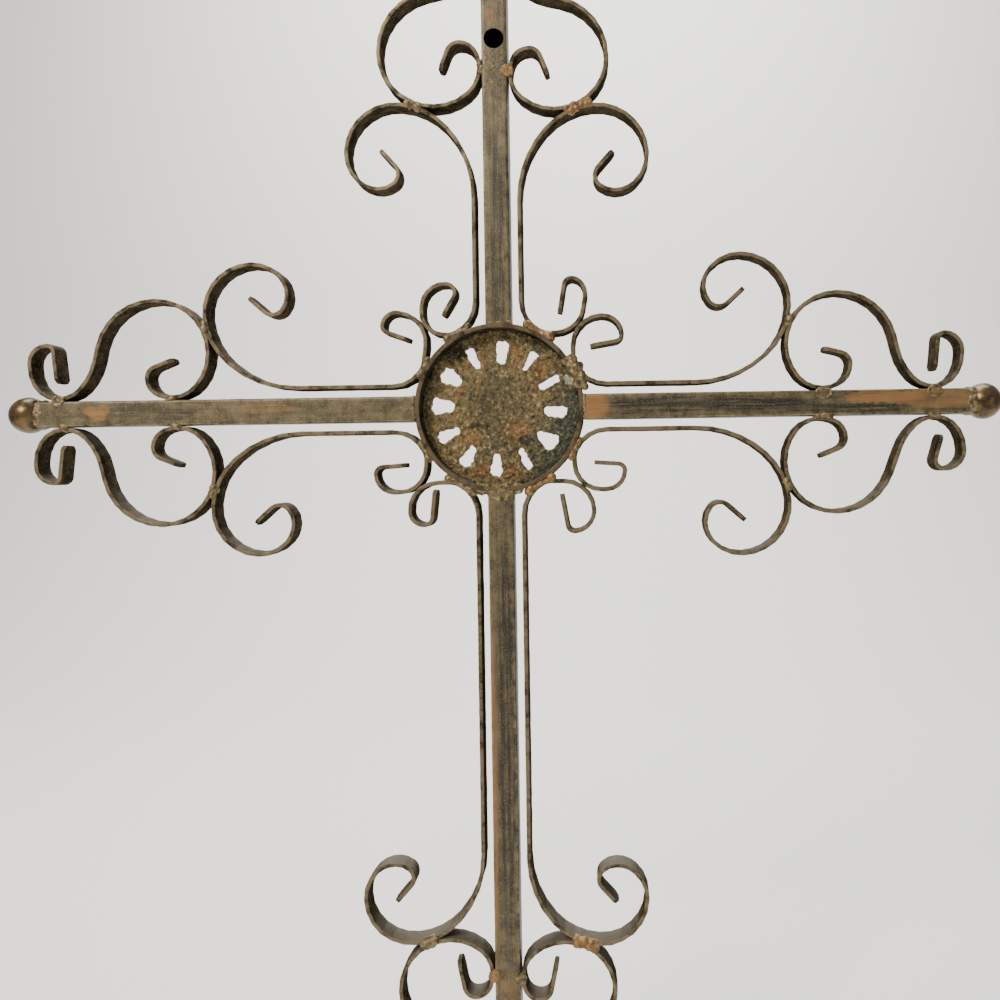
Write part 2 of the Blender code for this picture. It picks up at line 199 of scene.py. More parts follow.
def paintTube(armName):
    look = tubeLooks[armName]
    material, tree, shader = startMaterial(
        "brushedBronzePaint_" + armName, tubePaint["metallic"], tubePaint["roughness"])
    coords = addNode(tree, "ShaderNodeTexCoord")
    place = coords.outputs["Object"]
    along = arms[armName]
    acrossAxis = "Z" if abs(along.x) > .5 else "X"
    drag = tubePaint["streak"] / tubePaint["reach"]
    stretch = tuple(drag if abs(a) > .5 else 1 for a in along)
    dragged = addNode(tree, "ShaderNodeMapping", inputs={"Vector": place, "Scale": stretch}).outputs[0]
    streaks = addNode(tree, "ShaderNodeTexNoise", inputs={
        "Vector": dragged, "Scale": 1 / (2 * tubePaint["streak"]), "Detail": 8,
        "Roughness": .68}).outputs[0]
    clouds = addNode(tree, "ShaderNodeTexNoise", inputs={
        "Vector": place, "Scale": 90, "Detail": 8, "Roughness": .72}).outputs[0]
    grain = addNode(tree, "ShaderNodeTexNoise", inputs={
        "Vector": place, "Scale": 1 / (2 * tubePaint["grain"]), "Detail": 3}).outputs[0]
    shift = wanderPlace(tree, place, scale=180, detail=3, reach=.006)
    tanShare = addNode(tree, "ShaderNodeMapRange", inputs={
        "Value": clouds, "From Min": .38, "From Max": .62}).outputs[0]
    paint = addNode(tree, "ShaderNodeMix", {"data_type": "RGBA"}, {
        0: tanShare, 6: colour(tubePaint["brown"]), 7: colour(tubePaint["tan"])}).outputs[2]
    # how much dark wash is left, more inside the dark spots
    washed = addNode(tree, "ShaderNodeMapRange", inputs={
        "Value": streaks, "From Min": .50, "From Max": .64, "To Max": look["darkness"]}).outputs[0]
    thick = addNode(tree, "ShaderNodeMapRange", inputs={
        "Value": streaks, "From Min": .38, "From Max": .54}).outputs[0]
    for spot in look["dark"]:
        mask = addNode(tree, "ShaderNodeMath", {"operation": "MULTIPLY"}, {
            0: spotMask(tree, shift, spot), 1: thick}).outputs[0]
        washed = addNode(tree, "ShaderNodeMath", {"operation": "MAXIMUM"}, {
            0: washed, 1: mask}).outputs[0]
    paint = addNode(tree, "ShaderNodeMix", {"data_type": "RGBA"}, {
        0: washed, 6: paint, 7: colour(tubePaint["dark"])}).outputs[2]
    rusty = addNode(tree, "ShaderNodeTexNoise", inputs={
        "Vector": place, "Scale": 320, "Detail": 4}).outputs[0]
    rusty = addNode(tree, "ShaderNodeMapRange", inputs={
        "Value": rusty, "From Min": .60, "From Max": .72, "To Max": .6}).outputs[0]
    paint = addNode(tree, "ShaderNodeMix", {"data_type": "RGBA"}, {
        0: rusty, 6: paint, 7: colour(tubePaint["rust"])}).outputs[2]
    # dark pores and pale flecks in the brushed powder
    pores = addNode(tree, "ShaderNodeMapRange", inputs={
        "Value": grain, "From Min": .50, "From Max": .36, "To Max": .4}).outputs[0]
    paint = addNode(tree, "ShaderNodeMix", {"data_type": "RGBA"}, {
        0: pores, 6: paint, 7: colour(tubePaint["dark"])}).outputs[2]
    flecks = addNode(tree, "ShaderNodeTexNoise", inputs={
        "Vector": place, "Scale": 900, "Detail": 2}).outputs[0]
    flecks = addNode(tree, "ShaderNodeMapRange", inputs={
        "Value": flecks, "From Min": .58, "From Max": .74, "To Max": .45}).outputs[0]
    paint = addNode(tree, "ShaderNodeMix", {"data_type": "RGBA"}, {
        0: flecks, 6: paint, 7: colour(tubePaint["fleck"])}).outputs[2]
    kept = addNode(tree, "ShaderNodeMapRange", inputs={
        "Value": streaks, "From Min": .62, "From Max": .46, "To Min": .55}).outputs[0]
    for spot in look["ochre"]:
        mask = addNode(tree, "ShaderNodeMath", {"operation": "MULTIPLY"}, {
            0: spotMask(tree, shift, spot), 1: kept}).outputs[0]
        paint = addNode(tree, "ShaderNodeMix", {"data_type": "RGBA"}, {
            0: mask, 6: paint, 7: colour(tubePaint["ochre"])}).outputs[2]
    # painted shade: the tube's sides are mixed toward the dark colour, standing in for the shade on the
    # sides that turn from the light
    facing = addNode(tree, "ShaderNodeSeparateXYZ", inputs={0: coords.outputs["Normal"]}).outputs
    toFront = addNode(tree, "ShaderNodeMath", {"operation": "ABSOLUTE"}, {0: facing["Y"]}).outputs[0]
    paintedSideShade = addNode(tree, "ShaderNodeMapRange", inputs={
        "Value": toFront, "From Min": .6, "From Max": .2, "To Max": .65}).outputs[0]
    paint = addNode(tree, "ShaderNodeMix", {"data_type": "RGBA"}, {
        0: paintedSideShade, 6: paint, 7: colour(tubePaint["dark"])}).outputs[2]
    # painted highlight: a pale line where the surface turns from the front to the side, standing in for
    # light caught on the rounded corners
    corner = addNode(tree, "ShaderNodeMath", {"operation": "MULTIPLY"}, {
        0: facing["Y"], 1: facing[acrossAxis]}).outputs[0]
    corner = addNode(tree, "ShaderNodeMath", {"operation": "ABSOLUTE"}, {0: corner}).outputs[0]
    paintedCornerHighlight = addNode(tree, "ShaderNodeMapRange", inputs={
        "Value": corner, "From Min": .22, "From Max": .45, "To Max": .40}).outputs[0]
    paintedCornerHighlight = addNode(tree, "ShaderNodeMath", {"operation": "MULTIPLY"}, {0: paintedCornerHighlight, 1: tanShare}).outputs[0]
    paint = addNode(tree, "ShaderNodeMix", {"data_type": "RGBA"}, {
        0: paintedCornerHighlight, 6: paint, 7: colour(tubePaint["fleck"])}).outputs[2]
    # painted shade: the inside of the tube is coloured near black, standing in for the shade deep in the
    # tube
    lie = addNode(tree, "ShaderNodeSeparateXYZ", inputs={0: place}).outputs
    across = addNode(tree, "ShaderNodeMath", {"operation": "SUBTRACT"}, {
        0: lie[acrossAxis], 1: getattr(ringMiddle, acrossAxis.lower())}).outputs[0]
    across = addNode(tree, "ShaderNodeMath", {"operation": "ABSOLUTE"}, {0: across}).outputs[0]
    deep = addNode(tree, "ShaderNodeMath", {"operation": "SUBTRACT"}, {
        0: lie["Y"], 1: ringMiddle.y}).outputs[0]
    deep = addNode(tree, "ShaderNodeMath", {"operation": "ABSOLUTE"}, {0: deep}).outputs[0]
    widest = addNode(tree, "ShaderNodeMath", {"operation": "MAXIMUM"}, {0: across, 1: deep}).outputs[0]
    paintedInsideShade = addNode(tree, "ShaderNodeMapRange", inputs={
        "Value": widest, "From Min": tubePaint["inside"],
        "From Max": tubePaint["inside"] - .0002}).outputs[0]
    paint = addNode(tree, "ShaderNodeMix", {"data_type": "RGBA"}, {
        0: paintedInsideShade, 6: paint, 7: colour(tubePaint["paintedInsideShade"])}).outputs[2]
    tree.links.new(paint, shader.inputs["Base Color"])
    rough = addNode(tree, "ShaderNodeMapRange", inputs={
        "Value": grain, "From Min": .3, "From Max": .7,
        "To Min": tubePaint["roughness"] - tubePaint["roughSpread"],
        "To Max": tubePaint["roughness"] + tubePaint["roughSpread"]}).outputs[0]
    tree.links.new(rough, shader.inputs["Roughness"])
    height = addNode(tree, "ShaderNodeMath", {"operation": "MULTIPLY_ADD"}, {
        0: streaks, 1: 1.5, 2: grain}).outputs[0]
    bump = addNode(tree, "ShaderNodeBump", inputs={"Strength": .35, "Distance": .0005, "Height": height})
    tree.links.new(bump.outputs[0], shader.inputs["Normal"])
    return material


# The same paint on the hammered flat bar: the broad sides keep the dark undercoat, the narrow edges that
# face out are rubbed to tan, partly real wear and partly painted light on the faces that look to the front,
# and scale and rust come through in spots
barPaint = dict(side="#453b2d", dark="#1f1c16", rust="#5f4027", fleck="#8f8066", paintedSheen="#756f66",
                scrollEdge="#6f624a", ringEdge="#5a4c37", shine=.35, dullRoughness=.9, rubbedRoughness=.45)


def paintBar(name, edge):
    material, tree, shader = startMaterial(name)
    coords = addNode(tree, "ShaderNodeTexCoord")
    place = coords.outputs["Object"]
    turned = addNode(tree, "ShaderNodeSeparateXYZ", inputs={0: coords.outputs["Normal"]}).outputs
    facing = addNode(tree, "ShaderNodeMath", {"operation": "ABSOLUTE"}, {0: turned["Y"]}).outputs[0]
    mottle = addNode(tree, "ShaderNodeTexNoise", inputs={
        "Vector": place, "Scale": 90, "Detail": 7, "Roughness": .66}).outputs[0]
    fine = addNode(tree, "ShaderNodeTexNoise", inputs={
        "Vector": place, "Scale": 900, "Detail": 4}).outputs[0]
    # faces that look to the front go toward the tan edge colour: partly rubbed paint, partly painted light
    rubbedAndLitEdges = addNode(tree, "ShaderNodeMapRange", {"interpolation_type": "SMOOTHSTEP"},
                     {"Value": facing, "From Min": .50, "From Max": .85}).outputs[0]
    uneven = addNode(tree, "ShaderNodeMapRange", inputs={
        "Value": mottle, "From Min": .38, "From Max": .56, "To Min": .15}).outputs[0]
    rubbedAndLitEdges = addNode(tree, "ShaderNodeMath", {"operation": "MULTIPLY"}, {
        0: rubbedAndLitEdges, 1: uneven}).outputs[0]
    brownShare = addNode(tree, "ShaderNodeMapRange", inputs={
        "Value": mottle, "From Min": .4, "From Max": .66}).outputs[0]
    broad = addNode(tree, "ShaderNodeMix", {"data_type": "RGBA"}, {
        0: brownShare, 6: colour(barPaint["dark"]), 7: colour(barPaint["side"])}).outputs[2]
    paint = addNode(tree, "ShaderNodeMix", {"data_type": "RGBA"}, {
        0: rubbedAndLitEdges, 6: broad, 7: colour(edge)}).outputs[2]
    spots = addNode(tree, "ShaderNodeTexNoise", inputs={
        "Vector": place, "Scale": 210, "Detail": 5}).outputs[0]
    spots = addNode(tree, "ShaderNodeMapRange", inputs={
        "Value": spots, "From Min": .60, "From Max": .72, "To Max": .5}).outputs[0]
    paint = addNode(tree, "ShaderNodeMix", {"data_type": "RGBA"}, {
        0: spots, 6: paint, 7: colour(barPaint["rust"])}).outputs[2]
    flecks = addNode(tree, "ShaderNodeMapRange", inputs={
        "Value": fine, "From Min": .56, "From Max": .74, "To Max": .5}).outputs[0]
    paint = addNode(tree, "ShaderNodeMix", {"data_type": "RGBA"}, {
        0: flecks, 6: paint, 7: colour(barPaint["fleck"])}).outputs[2]
    # painted sheen: the sides that look up are mixed toward a pale grey, standing in for light from above
    paintedSheenMask = addNode(tree, "ShaderNodeMapRange", inputs={
        "Value": turned["Z"], "From Min": .35, "From Max": .95, "To Max": .5}).outputs[0]
    paint = addNode(tree, "ShaderNodeMix", {"data_type": "RGBA"}, {
        0: paintedSheenMask, 6: paint, 7: colour(barPaint["paintedSheen"])}).outputs[2]
    tree.links.new(paint, shader.inputs["Base Color"])
    # the undercoat on the broad sides is a dull black, only the rubbed edges shine
    shine = addNode(tree, "ShaderNodeMath", {"operation": "MULTIPLY"}, {
        0: rubbedAndLitEdges, 1: barPaint["shine"]}).outputs[0]
    tree.links.new(shine, shader.inputs["Metallic"])
    tree.links.new(shine, shader.inputs["Specular IOR Level"])
    rough = addNode(tree, "ShaderNodeMapRange", inputs={
        "Value": rubbedAndLitEdges, "To Min": barPaint["dullRoughness"],
        "To Max": barPaint["rubbedRoughness"]}).outputs[0]
    tree.links.new(rough, shader.inputs["Roughness"])
    bump = addNode(tree, "ShaderNodeBump", inputs={"Strength": .4, "Distance": .0004, "Height": fine})
    tree.links.new(bump.outputs[0], shader.inputs["Normal"])
    return material


# Sand-cast iron under a thin bronze wash: sand grain of about half a millimetre, brown and tan on the
# high parts, olive-grey in the middle, black-green toward the right rim and in the hollows
castPaint = dict(brown="#65543a", tan="#a8925f", orange="#9c6a3b", olive="#5f5940", green="#404f44",
                 black="#12130d", paintedGlint="#e2d3a4", metallic=.25, roughness=.7)
# spots on the disc, as (x, z, half width, half height, strength): olive-grey over its middle, small
# rust tints on the spokes and black scale
oliveTints = [(-.002, -.272, .026, .024, .5)]
rustTints = [
    (.029, -.249, .005, .013, .45), (.015, -.291, .011, .008, .45), (-.026, -.297, .010, .006, .35),
    (-.030, -.262, .006, .005, .35), (-.018, -.323, .009, .006, .4), (.008, -.326, .006, .007, .4),
    (-.012, -.236, .006, .010, .3), (.012, -.234, .004, .010, .5),
]
darkTints = [
    (.0185, -.2995, .0075, .0042, .75), (-.018, -.2895, .012, .0022, .65),
    (-.034, -.2320, .010, .0065, .8), (.002, -.2990, .010, .0060, .35), (-.010, -.272, .006, .012, .3),
]


def paintCasting():
    material, tree, shader = startMaterial(
        "sandCastIronWashed", castPaint["metallic"], castPaint["roughness"])
    place = addNode(tree, "ShaderNodeTexCoord").outputs["Object"]
    zones = addNode(tree, "ShaderNodeTexNoise", inputs={
        "Vector": place, "Scale": 60, "Detail": 8, "Roughness": .7}).outputs[0]
    grit = addNode(tree, "ShaderNodeTexNoise", inputs={
        "Vector": place, "Scale": 330, "Detail": 9, "Roughness": .82}).outputs[0]
    coarse = addNode(tree, "ShaderNodeTexVoronoi", inputs={
        "Vector": place, "Scale": 420}).outputs["Distance"]
    shift = wanderPlace(tree, place, scale=120, detail=4, reach=.016)
    tanShare = addNode(tree, "ShaderNodeMapRange", inputs={
        "Value": grit, "From Min": .42, "From Max": .60}).outputs[0]
    paint = addNode(tree, "ShaderNodeMix", {"data_type": "RGBA"}, {
        0: tanShare, 6: colour(castPaint["brown"]), 7: colour(castPaint["tan"])}).outputs[2]
    for name, tints in (("olive", oliveTints), ("orange", rustTints), ("black", darkTints)):
        for tint in tints:
            paint = addNode(tree, "ShaderNodeMix", {"data_type": "RGBA"}, {
                0: spotMask(tree, shift, tint), 6: paint, 7: colour(castPaint[name])}).outputs[2]
    # black-green from the middle of the right half out to the rim
    lie = addNode(tree, "ShaderNodeSeparateXYZ", inputs={0: shift}).outputs
    toRim = addNode(tree, "ShaderNodeMath", {"operation": "MULTIPLY_ADD"}, {
        0: lie["Z"], 1: -.35, 2: lie["X"]}).outputs[0]
    toRim = addNode(tree, "ShaderNodeMapRange", inputs={
        "Value": toRim, "From Min": .120, "From Max": .148, "To Max": .80}).outputs[0]
    patchy = addNode(tree, "ShaderNodeMapRange", inputs={
        "Value": zones, "From Min": .50, "From Max": .64, "To Max": .6}).outputs[0]
    greener = addNode(tree, "ShaderNodeMath", {"operation": "MAXIMUM"}, {0: toRim, 1: patchy}).outputs[0]
    paint = addNode(tree, "ShaderNodeMix", {"data_type": "RGBA"}, {
        0: greener, 6: paint, 7: colour(castPaint["green"])}).outputs[2]
    hollows = addNode(tree, "ShaderNodeMapRange", inputs={
        "Value": grit, "From Min": .46, "From Max": .38, "To Max": .9}).outputs[0]
    paint = addNode(tree, "ShaderNodeMix", {"data_type": "RGBA"}, {
        0: hollows, 6: paint, 7: colour(castPaint["black"])}).outputs[2]
    # painted highlights: the highest grains are mixed toward a pale gold, standing in for glints of light
    paintedGlints = addNode(tree, "ShaderNodeMapRange", inputs={
        "Value": grit, "From Min": .56, "From Max": .64, "To Max": .95}).outputs[0]
    paint = addNode(tree, "ShaderNodeMix", {"data_type": "RGBA"}, {
        0: paintedGlints, 6: paint, 7: colour(castPaint["paintedGlint"])}).outputs[2]
    tree.links.new(paint, shader.inputs["Base Color"])
    height = addNode(tree, "ShaderNodeMath", {"operation": "MULTIPLY_ADD"}, {
        0: coarse, 1: -.6, 2: grit}).outputs[0]
    bump = addNode(tree, "ShaderNodeBump", inputs={"Strength": 1, "Distance": .0028, "Height": height})
    tree.links.new(bump.outputs[0], shader.inputs["Normal"])
    return material


# Turned steel ball under dark bronze paint, smoother and glossier than the tube
ballPaint = dict(dark="#2e2417", brown="#6b5634", metallic=.6, roughness=.32, roughSpread=.10)


def paintBall():
    material, tree, shader = startMaterial(
        "darkBronzePaintOnBall", ballPaint["metallic"], ballPaint["roughness"])
    place = addNode(tree, "ShaderNodeTexCoord").outputs["Object"]
    clouds = addNode(tree, "ShaderNodeTexNoise", inputs={
        "Vector": place, "Scale": 140, "Detail": 7, "Roughness": .65}).outputs[0]
    brownShare = addNode(tree, "ShaderNodeMapRange", inputs={
        "Value": clouds, "From Min": .36, "From Max": .6}).outputs[0]
    paint = addNode(tree, "ShaderNodeMix", {"data_type": "RGBA"}, {
        0: brownShare, 6: colour(ballPaint["dark"]), 7: colour(ballPaint["brown"])}).outputs[2]
    tree.links.new(paint, shader.inputs["Base Color"])
    rough = addNode(tree, "ShaderNodeMapRange", inputs={
        "Value": clouds, "From Min": .3, "From Max": .7,
        "To Min": ballPaint["roughness"] + ballPaint["roughSpread"],
        "To Max": ballPaint["roughness"] - ballPaint["roughSpread"]}).outputs[0]
    tree.links.new(rough, shader.inputs["Roughness"])
    bump = addNode(tree, "ShaderNodeBump", inputs={"Strength": .3, "Distance": .0005, "Height": clouds})
    tree.links.new(bump.outputs[0], shader.inputs["Normal"])
    return material


# Weld metal under the same paint, tan where it was only rubbed and smooth ochre where it was touched
# up with a brush; the spatter beside the right arm has kept its pale slag
weldPaint = {
    "tan": dict(name="bronzePaintOnWeld", high="#85724e", low="#43361f", creaseShade="#15120d"),
    "ochre": dict(name="ochrePaintOnWeld", high="#8f6f43", low="#6b4c2a", creaseShade="#2a1e10"),
    "pale": dict(name="slagOnWeld", high="#a9a68c", low="#67644c", creaseShade="#24231b"),
}
weldFinish = dict(metallic=.35, roughness=.45)


def paintWeld(look):
    material, tree, shader = startMaterial(look["name"], **weldFinish)
    place = addNode(tree, "ShaderNodeTexCoord").outputs["Object"]
    lump = addNode(tree, "ShaderNodeTexNoise", inputs={
        "Vector": place, "Scale": 260, "Detail": 6, "Roughness": .6}).outputs[0]
    highShare = addNode(tree, "ShaderNodeMapRange", inputs={
        "Value": lump, "From Min": .4, "From Max": .6}).outputs[0]
    paint = addNode(tree, "ShaderNodeMix", {"data_type": "RGBA"}, {
        0: highShare, 6: colour(look["low"]), 7: colour(look["high"])}).outputs[2]
    # painted shade: darker where the surface folds inward, in the creases between the drops
    paintedCreaseShade = addNode(tree, "ShaderNodeMapRange", inputs={
        "Value": addNode(tree, "ShaderNodeNewGeometry").outputs["Pointiness"],
        "From Min": .49, "From Max": .42, "To Max": .8}).outputs[0]
    paint = addNode(tree, "ShaderNodeMix", {"data_type": "RGBA"}, {
        0: paintedCreaseShade, 6: paint, 7: colour(look["creaseShade"])}).outputs[2]
    tree.links.new(paint, shader.inputs["Base Color"])
    bump = addNode(tree, "ShaderNodeBump", inputs={"Strength": .35, "Distance": .0004, "Height": lump})
    tree.links.new(bump.outputs[0], shader.inputs["Normal"])
    return material


barMaterial = paintBar("rubbedBronzePaintOnBar", barPaint["scrollEdge"])
ringMaterial = paintBar("rubbedBronzePaintOnRing", barPaint["ringEdge"])
castMaterial = paintCasting()
ballMaterial = paintBall()
weldMaterials = {paint: paintWeld(look) for paint, look in weldPaint.items()}
weldMaterials["rough"] = castMaterial      # crusts that look like the casting
print("materials mixed")


# bent flat bar: C and S scrolls
bar = dict(thickness=.0032, corner=.0007, endCut=.0036, longest=.004, wave=.0004, waveSize=.010,
           pits=.00014, pitSize=.002)


def barPath(node):
    # middle line of a bent bar, read from the rim of its face that looks to -Y
    mesh = bmesh.new()
    mesh.from_mesh(nodes[node].data)
    bmesh.ops.remove_doubles(mesh, verts=mesh.verts, dist=.00002)
    joined = {}
    for edge in mesh.edges:
        if sum(face.normal.y < -.5 for face in edge.link_faces) == 1:
            first, second = edge.verts
            joined.setdefault(first, []).append(second)
            joined.setdefault(second, []).append(first)
    start = next(iter(joined))
    rim = [start, joined[start][0]]
    while True:
        following = next(v for v in joined[rim[-1]] if v != rim[-2])
        if following == start:
            break
        rim.append(following)
    points = [Vector((v.co.x, v.co.z)) for v in rim]
    mesh.free()
    count = len(points)
    corners = [i for i in range(count)
               if (points[i] - points[i - 1]).angle(points[(i + 1) % count] - points[i]) > .9]
    # the cut end lies between two corners that follow each other
    turn = next(corners[k] for k in range(4) if (corners[(k + 1) % 4] - corners[k]) % count == 1)
    points = points[turn + 1:] + points[:turn + 1]
    half = count // 2
    return [(a + b) / 2 for a, b in zip(points[:half], points[::-1][:half])]


def fillIn(path, longest):
    filled = [path[0]]
    for a, b in zip(path, path[1:]):
        steps = max(1, math.ceil((b - a).length / longest))
        filled += [a.lerp(b, k / steps) for k in range(1, steps + 1)]
    return filled


def drawSection(depth):
    deselectAll()
    bpy.ops.mesh.primitive_plane_add(size=1)
    section = bpy.context.object
    section.scale = (bar["thickness"], depth, 1)
    applyPlace(section)
    bpy.ops.object.mode_set(mode="EDIT")
    bpy.ops.mesh.select_all(action="SELECT")
    bpy.ops.mesh.bevel(offset=bar["corner"], segments=3, affect="VERTICES")
    # the face goes first, or the cuts would join the two long edges across it
    bpy.ops.mesh.select_all(action="SELECT")
    bpy.ops.mesh.delete(type="ONLY_FACE")
    selectWhere(section, "EDGE", lambda edge: edge.calc_length() > .5 * depth)
    bpy.ops.mesh.subdivide(number_cuts=5)
    bpy.ops.object.mode_set(mode="OBJECT")
    bpy.ops.object.convert(target="CURVE")
    return bpy.context.object


def forgeBar(node, section):
    low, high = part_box(node)
    path = fillIn(barPath(node), bar["longest"])
    line = bpy.data.curves.new(node, "CURVE")
    line.dimensions = "2D"
    line.fill_mode = "NONE"
    spline = line.splines.new("BEZIER")
    spline.bezier_points.add(len(path) - 1)
    for point, place in zip(spline.bezier_points, path):
        point.co = (place.x, place.y, 0)
        point.handle_left_type = point.handle_right_type = "AUTO"
    spline.resolution_u = 2
    line.bevel_mode = "OBJECT"
    line.bevel_object = section
    line.use_fill_caps = True
    piece = bpy.data.objects.new(node, line)
    bpy.context.collection.objects.link(piece)
    piece.location.y = (low.y + high.y) / 2
    piece.rotation_euler.x = math.pi / 2
    pick(piece)
    bpy.ops.object.convert(target="MESH")
    piece = bpy.context.object
    applyPlace(piece)
    bpy.ops.object.mode_set(mode="EDIT")
    bpy.ops.mesh.select_all(action="SELECT")
    bpy.ops.mesh.remove_doubles(threshold=.00001)
    bpy.ops.mesh.normals_make_consistent(inside=False)
    # the shears took both corners off each end
    for end, before in ((path[0], path[1]), (path[-1], path[-2])):
        away = (end - before).normalized()
        cut = end - away * bar["endCut"]

        def nearEnd(face):
            lie = face.calc_center_median().xz - end
            return -2 * bar["endCut"] < lie.dot(away) < .0005 and abs(lie.dot(away.orthogonal())) < .0025

        for side, y in ((-1, low.y), (1, high.y)):
            selectWhere(piece, "FACE", nearEnd)
            bpy.ops.mesh.bisect(plane_co=(cut.x, y, cut.y), plane_no=(away.x, side, away.y),
                                use_fill=True, clear_outer=True)
    bpy.ops.object.mode_set(mode="OBJECT")
    roughen(piece, bar["wave"], bar["waveSize"])
    roughen(piece, bar["pits"], bar["pitSize"])
    smoothUnder(piece, 40, flatFaces=True)
    finishPiece(piece, "forged_" + node, barMaterial, "flat_bar", node)
    return path


scrollNodes = sorted(name for name in nodes if "scroll" in name)
scrollLow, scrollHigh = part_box(scrollNodes[0])
section = drawSection(scrollHigh.y - scrollLow.y)
paths = {node: forgeBar(node, section) for node in scrollNodes}
bpy.data.objects.remove(section)
print("scrolls forged:", len(paths))


# square tubes, open towards the ring
tube = dict(corner=.0020, wall=.0015, cut=.003, wave=.00022, waveSize=.014, brush=.00008, brushSize=.0025,
            holeRadius=.0075)


def makeTube(armName):
    along = arms[armName]
    low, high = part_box("arm_" + armName)
    size = high - low
    length = max(size)
    deselectAll()
    bpy.ops.mesh.primitive_cube_add(size=1, location=(low + high) / 2)
    piece = bpy.context.object
    piece.scale = size
    applyPlace(piece)
    bpy.ops.object.mode_set(mode="EDIT")
    selectWhere(piece, "EDGE", lambda edge: edge.calc_length() > .9 * length)
    bpy.ops.mesh.bevel(offset=tube["corner"], segments=4, affect="EDGES")
    selectWhere(piece, "FACE", lambda face: face.normal.dot(along) < -.9)
    bpy.ops.mesh.delete(type="FACE")
    selectWhere(piece, "EDGE", lambda edge: edge.calc_length() > .9 * length)
    bpy.ops.mesh.subdivide(number_cuts=int(length / tube["cut"]))
    selectWhere(piece, "EDGE", lambda edge: edge.calc_length() > .012)
    bpy.ops.mesh.subdivide(number_cuts=5)
    bpy.ops.object.mode_set(mode="OBJECT")
    roughen(piece, tube["wave"], tube["waveSize"])
    roughen(piece, tube["brush"], tube["brushSize"])
    useModifier(piece, "SOLIDIFY", thickness=tube["wall"], offset=-1, use_even_offset=True)
    if armName == "top":
        # the hanging hole goes through the near wall only
        deselectAll()
        bpy.ops.mesh.primitive_cylinder_add(vertices=56, radius=tube["holeRadius"], depth=.02,
                                            location=(0, -.005, 0), rotation=(math.pi / 2, 0, 0))
        drill = bpy.context.object
        useModifier(piece, "BOOLEAN", operation="DIFFERENCE", solver="EXACT", object=drill)
        bpy.data.objects.remove(drill)
    smoothUnder(piece, 35, flatFaces=True)
    finishPiece(piece, "tube_" + armName, paintTube(armName), "square_tube", "arm_" + armName)


for armName in arms:
    makeTube(armName)
print("tubes cut")


# ring of flat bar on edge
ring = dict(bar=.0036, corner=.0007, steps=160, wave=.0007, waveSize=.012, pits=.0002, pitSize=.0022)


def makeRing():
    radius = (ringHigh.x - ringLow.x) / 2
    depth = ringHigh.y - ringLow.y
    deselectAll()
    barMiddle = ringMiddle + Vector((radius - ring["bar"] / 2, 0, 0))
    bpy.ops.mesh.primitive_plane_add(size=1, location=barMiddle)
    piece = bpy.context.object
    piece.scale = (ring["bar"], depth, 1)
    applyPlace(piece)
    bpy.ops.object.mode_set(mode="EDIT")
    bpy.ops.mesh.select_all(action="SELECT")
    bpy.ops.mesh.bevel(offset=ring["corner"], segments=3, affect="VERTICES")
    bpy.ops.mesh.select_all(action="SELECT")
    bpy.ops.mesh.delete(type="ONLY_FACE")
    selectWhere(piece, "EDGE", lambda edge: edge.calc_length() > .5 * depth)
    bpy.ops.mesh.subdivide(number_cuts=7)
    bpy.ops.mesh.select_all(action="SELECT")
    bpy.ops.mesh.spin(steps=ring["steps"], angle=2 * math.pi, center=ringMiddle, axis=(0, 1, 0))
    bpy.ops.mesh.select_all(action="SELECT")
    bpy.ops.mesh.remove_doubles(threshold=.00005)
    bpy.ops.mesh.normals_make_consistent(inside=False)
    bpy.ops.object.mode_set(mode="OBJECT")
    roughen(piece, ring["wave"], ring["waveSize"])
    roughen(piece, ring["pits"], ring["pitSize"])
    smoothUnder(piece, 40, flatFaces=True)
    finishPiece(piece, "hoop", ringMaterial, "flat_bar", "ring")


makeRing()
print("ring bent")


# cast disc: a copy of the CAD disc, softened and given its sand grain
disc = dict(voxel=.0007, lumps=.0018, lumpSize=.006, grit=.0026, gritSize=.0030, spread=1.008)


def castDisc():
    piece = bpy.data.objects.new("disc", nodes["slotted_disc"].data.copy())
    bpy.context.collection.objects.link(piece)
    pick(piece)
    bpy.ops.object.mode_set(mode="EDIT")
    bpy.ops.mesh.select_all(action="SELECT")
    bpy.ops.mesh.remove_doubles(threshold=.00002)
    # its rim runs into the ring
    bpy.ops.transform.resize(value=(disc["spread"], 1, disc["spread"]), center_override=ringMiddle)
    bpy.ops.object.mode_set(mode="OBJECT")
    useModifier(piece, "REMESH", mode="VOXEL", voxel_size=disc["voxel"])
    useModifier(piece, "SMOOTH", factor=.6, iterations=2)
    roughen(piece, disc["lumps"], disc["lumpSize"])
    roughen(piece, disc["grit"], disc["gritSize"], 3)
    smoothUnder(piece, 80)
    finishPiece(piece, "cast_disc", castMaterial, "cast_disc", "slotted_disc")


castDisc()
print("disc cast")


# ball ends with a short neck
ball = dict(radius=.0136, neck=.0080, dent=.0004, dentSize=.008)


